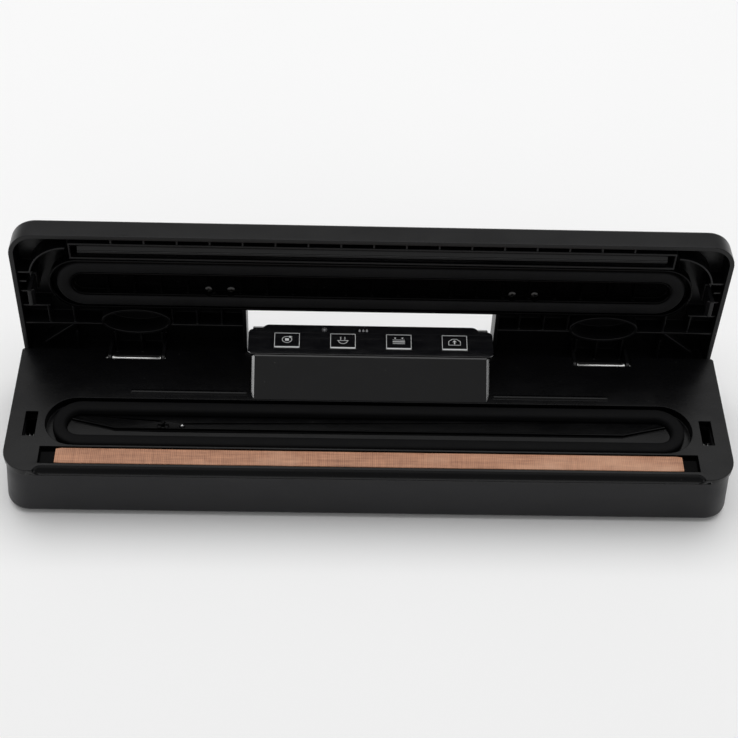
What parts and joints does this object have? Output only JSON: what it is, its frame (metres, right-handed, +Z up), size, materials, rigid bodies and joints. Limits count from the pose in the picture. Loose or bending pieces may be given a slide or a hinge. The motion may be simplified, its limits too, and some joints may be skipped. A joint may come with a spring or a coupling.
{
  "type": "vacuum sealer",
  "caption": "Slim countertop vacuum sealer: long flat body with trough, gasket and heating strip, centre key console and a ribbed lid hinged open at the rear.",
  "frame": {"origin": "on the standing surface, on the centre plane, midway between the front edge of the body and the rearmost edge of the open lid", "axes": "+X along the body to the user's right, +Y from the front to the rear, +Z up"},
  "size_m": [0.3744, 0.1052, 0.1108],
  "materials": {
    "body_plastic": "satin moulded black",
    "deck_plastic": "fine grained black",
    "lid_plastic": "satin moulded black",
    "panel_gloss": "polished black",
    "lamp_lens": "clear diffusing",
    "gasket_rubber": "soft closed cell",
    "silicone": "smooth silicone",
    "woven_tape": "woven coated glass cloth",
    "heater_base": "heat resistant board",
    "steel": "plated",
    "latch_nylon": "black nylon",
    "dark_moulding": "moulded",
    "circuit_board": "solder mask",
    "winding_wrap": "insulating wrap"
  },
  "bodies": {
    "body": {"bottom_housing": "body_plastic", "deck_cover": "deck_plastic", "control_console": "deck_plastic", "control_panel": "panel_gloss", "indicator_lights": "lamp_lens", "control_board": "circuit_board", "key_switches": "dark_moulding", "status_leds": "lamp_lens", "power_board": "circuit_board", "transformer": "winding_wrap", "smoothing_capacitor": "dark_moulding", "power_components": "dark_moulding", "mains_inlet": "dark_moulding", "inlet_pins": "steel", "pump_motor": "steel", "pump_head": "dark_moulding", "pump_mounts": "silicone", "release_valve": "dark_moulding", "valve_spring": "steel", "air_hoses": "silicone", "suction_nozzle": "deck_plastic", "vacuum_sensor": "steel", "lower_gasket": "gasket_rubber", "drip_tray": "deck_plastic", "heater_bar": "heater_base", "heating_wire": "steel", "seal_tape": "woven_tape", "wire_clamps": "dark_moulding", "left_latch_spring": "steel", "right_latch_spring": "steel", "lid_switches": "dark_moulding", "hinge_pins": "steel", "feet": "silicone", "housing_screws": "steel", "board_screws": "steel"},
    "lid": {"lid_shell": "lid_plastic", "lid_gasket_frame": "lid_plastic", "upper_gasket": "gasket_rubber", "pressure_bar": "silicone", "latch_hooks": "lid_plastic", "lid_screws": "steel"},
    "auto_stop_key": {"auto_stop_key": "panel_gloss"},
    "food_key": {"food_key": "panel_gloss"},
    "seal_key": {"seal_key": "panel_gloss"},
    "vacuum_key": {"vacuum_key": "panel_gloss"},
    "left_release": {"left_release_button": "body_plastic", "left_latch": "latch_nylon"},
    "right_release": {"right_release_button": "body_plastic", "right_latch": "latch_nylon"},
    "pump_shaft": {"pump_shaft": "steel"},
    "valve_plunger": {"valve_plunger": "steel"}
  },
  "joints": [
    {"name": "lid_hinge", "type": "hinge", "parent": "body", "child": "lid", "pos_m": [0, 0.02656, 0.0322], "axis": [1, 0, 0], "range_deg": [0, 95]},
    {"name": "auto_stop_press", "type": "slide", "parent": "body", "child": "auto_stop_key", "axis": [0, 0.1045, -0.9945], "range_m": [0, 0.0006], "stiffness_N_per_m": 400},
    {"name": "food_press", "type": "slide", "parent": "body", "child": "food_key", "axis": [0, 0.1045, -0.9945], "range_m": [0, 0.0006], "stiffness_N_per_m": 400},
    {"name": "seal_press", "type": "slide", "parent": "body", "child": "seal_key", "axis": [0, 0.1045, -0.9945], "range_m": [0, 0.0006], "stiffness_N_per_m": 400},
    {"name": "vacuum_press", "type": "slide", "parent": "body", "child": "vacuum_key", "axis": [0, 0.1045, -0.9945], "range_m": [0, 0.0006], "stiffness_N_per_m": 400},
    {"name": "left_release_press", "type": "slide", "parent": "body", "child": "left_release", "axis": [1, 0, 0], "range_m": [0, 0.002], "stiffness_N_per_m": 400, "deforming": ["left_latch_spring"]},
    {"name": "right_release_press", "type": "slide", "parent": "body", "child": "right_release", "axis": [-1, 0, 0], "range_m": [0, 0.002], "stiffness_N_per_m": 400, "deforming": ["right_latch_spring"]},
    {"name": "pump_spin", "type": "hinge", "parent": "body", "child": "pump_shaft", "pos_m": [-0.06, 0.01256, 0.0167], "axis": [1, 0, 0], "continuous": true},
    {"name": "valve_press", "type": "slide", "parent": "body", "child": "valve_plunger", "axis": [0, 0, -1], "range_m": [0, 0.0015], "stiffness_N_per_m": 200, "deforming": ["valve_spring"]}
  ]
}
